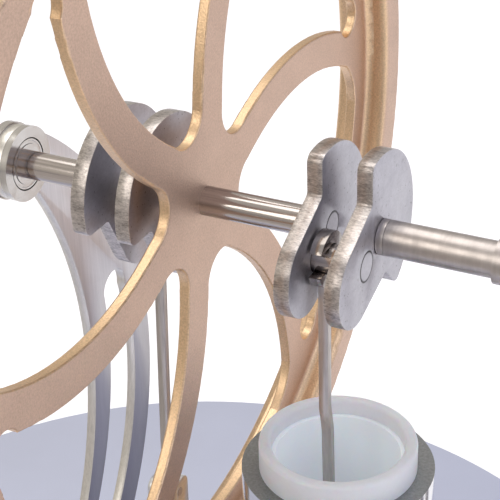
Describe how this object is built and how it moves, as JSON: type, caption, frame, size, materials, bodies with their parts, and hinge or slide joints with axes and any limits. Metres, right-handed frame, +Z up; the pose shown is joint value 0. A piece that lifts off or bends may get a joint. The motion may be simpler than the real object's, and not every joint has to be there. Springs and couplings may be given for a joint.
{
  "type": "stirling engine model",
  "caption": "Low-temperature Stirling engine: clear displacer chamber, power cylinder, built-up crankshaft, curved-spoke flywheel and bent sheet supports.",
  "frame": {"origin": "centre of the bottom plate's underside", "axes": "+Z up, X along the crankshaft from the displacer crank to the power crank, Y across the flywheel's plane"},
  "size_m": [0.115, 0.115, 0.1382],
  "materials": {
    "plate": "satin blue-grey anodised",
    "clear_ring": "clear acrylic, gloss",
    "gasket": "matte black",
    "stainless_sheet": "satin stainless sheet",
    "screw_steel": "bright screws",
    "bearing_steel": "ground steel",
    "polished_jacket": "turned and polished",
    "white_tube": "frosted white, slightly translucent",
    "shaft_steel": "ground bar",
    "turned_steel": "fine turned",
    "web_steel": "satin faces, striated cut edges",
    "flywheel_gold": "champagne gold, bead blasted",
    "rod_steel": "satin sheet",
    "fork_aluminium": "fine milled",
    "gland_bronze": "turned bronze",
    "graphite": "matte graphite",
    "foam": "closed foam"
  },
  "bodies": {
    "base": {"top_plate": "plate", "bottom_plate": "plate", "chamber_ring": "clear_ring", "lower_gasket": "gasket", "upper_gasket": "gasket", "cylinder_gasket": "gasket", "left_support": "stainless_sheet", "right_support": "stainless_sheet", "clamp_screws": "screw_steel", "left_foot_screws": "screw_steel", "right_foot_screws": "screw_steel", "cylinder_screws": "screw_steel", "left_bearing_outer": "bearing_steel", "right_bearing_outer": "bearing_steel", "left_bearing_balls": "bearing_steel", "right_bearing_balls": "bearing_steel", "left_retainer": "bearing_steel", "right_retainer": "bearing_steel", "cylinder_jacket": "polished_jacket", "cylinder_tube": "white_tube", "cylinder_liner": "white_tube", "displacer_gland": "gland_bronze"},
    "crankshaft": {"left_shaft": "shaft_steel", "middle_shaft": "shaft_steel", "right_shaft": "shaft_steel", "displacer_outer_web": "web_steel", "displacer_inner_web": "web_steel", "power_inner_web": "web_steel", "power_outer_web": "web_steel", "displacer_crankpin": "shaft_steel", "power_crankpin": "shaft_steel", "spacer_sleeve": "turned_steel", "shaft_collar": "turned_steel", "flywheel": "flywheel_gold", "left_bearing_inner": "bearing_steel", "right_bearing_inner": "bearing_steel"},
    "power_rod": {"power_rod": "rod_steel"},
    "displacer_link": {"displacer_link": "rod_steel"},
    "piston": {"power_piston": "graphite", "piston_fork": "fork_aluminium", "piston_pin": "shaft_steel"},
    "displacer": {"displacer_disc": "foam", "displacer_stem": "shaft_steel", "displacer_washer": "screw_steel", "displacer_nut": "screw_steel", "displacer_fork": "fork_aluminium", "displacer_pin": "shaft_steel"}
  },
  "joints": [
    {"name": "crank_spin", "type": "hinge", "parent": "base", "child": "crankshaft", "pos_m": [0, 0, 0.0928], "axis": [1, 0, 0], "continuous": true},
    {"name": "power_rod_swing", "type": "hinge", "parent": "crankshaft", "child": "power_rod", "pos_m": [0.0208, -0.0035, 0.09131], "axis": [1, 0, 0], "continuous": true},
    {"name": "displacer_link_swing", "type": "hinge", "parent": "crankshaft", "child": "displacer_link", "pos_m": [0, 0.00148, 0.0893], "axis": [1, 0, 0], "continuous": true},
    {"name": "piston_slide", "type": "slide", "parent": "base", "child": "piston", "axis": [0, 0, 1], "range_m": [-0.00231, 0.00528]},
    {"name": "displacer_slide", "type": "slide", "parent": "base", "child": "displacer", "axis": [0, 0, 1], "range_m": [-0.0003, 0.0073]}
  ],
  "couplings": [
    {"joint": "power_rod_swing", "follows": "crank_spin", "ratio": -1},
    {"joint": "displacer_link_swing", "follows": "crank_spin", "ratio": -1}
  ]
}
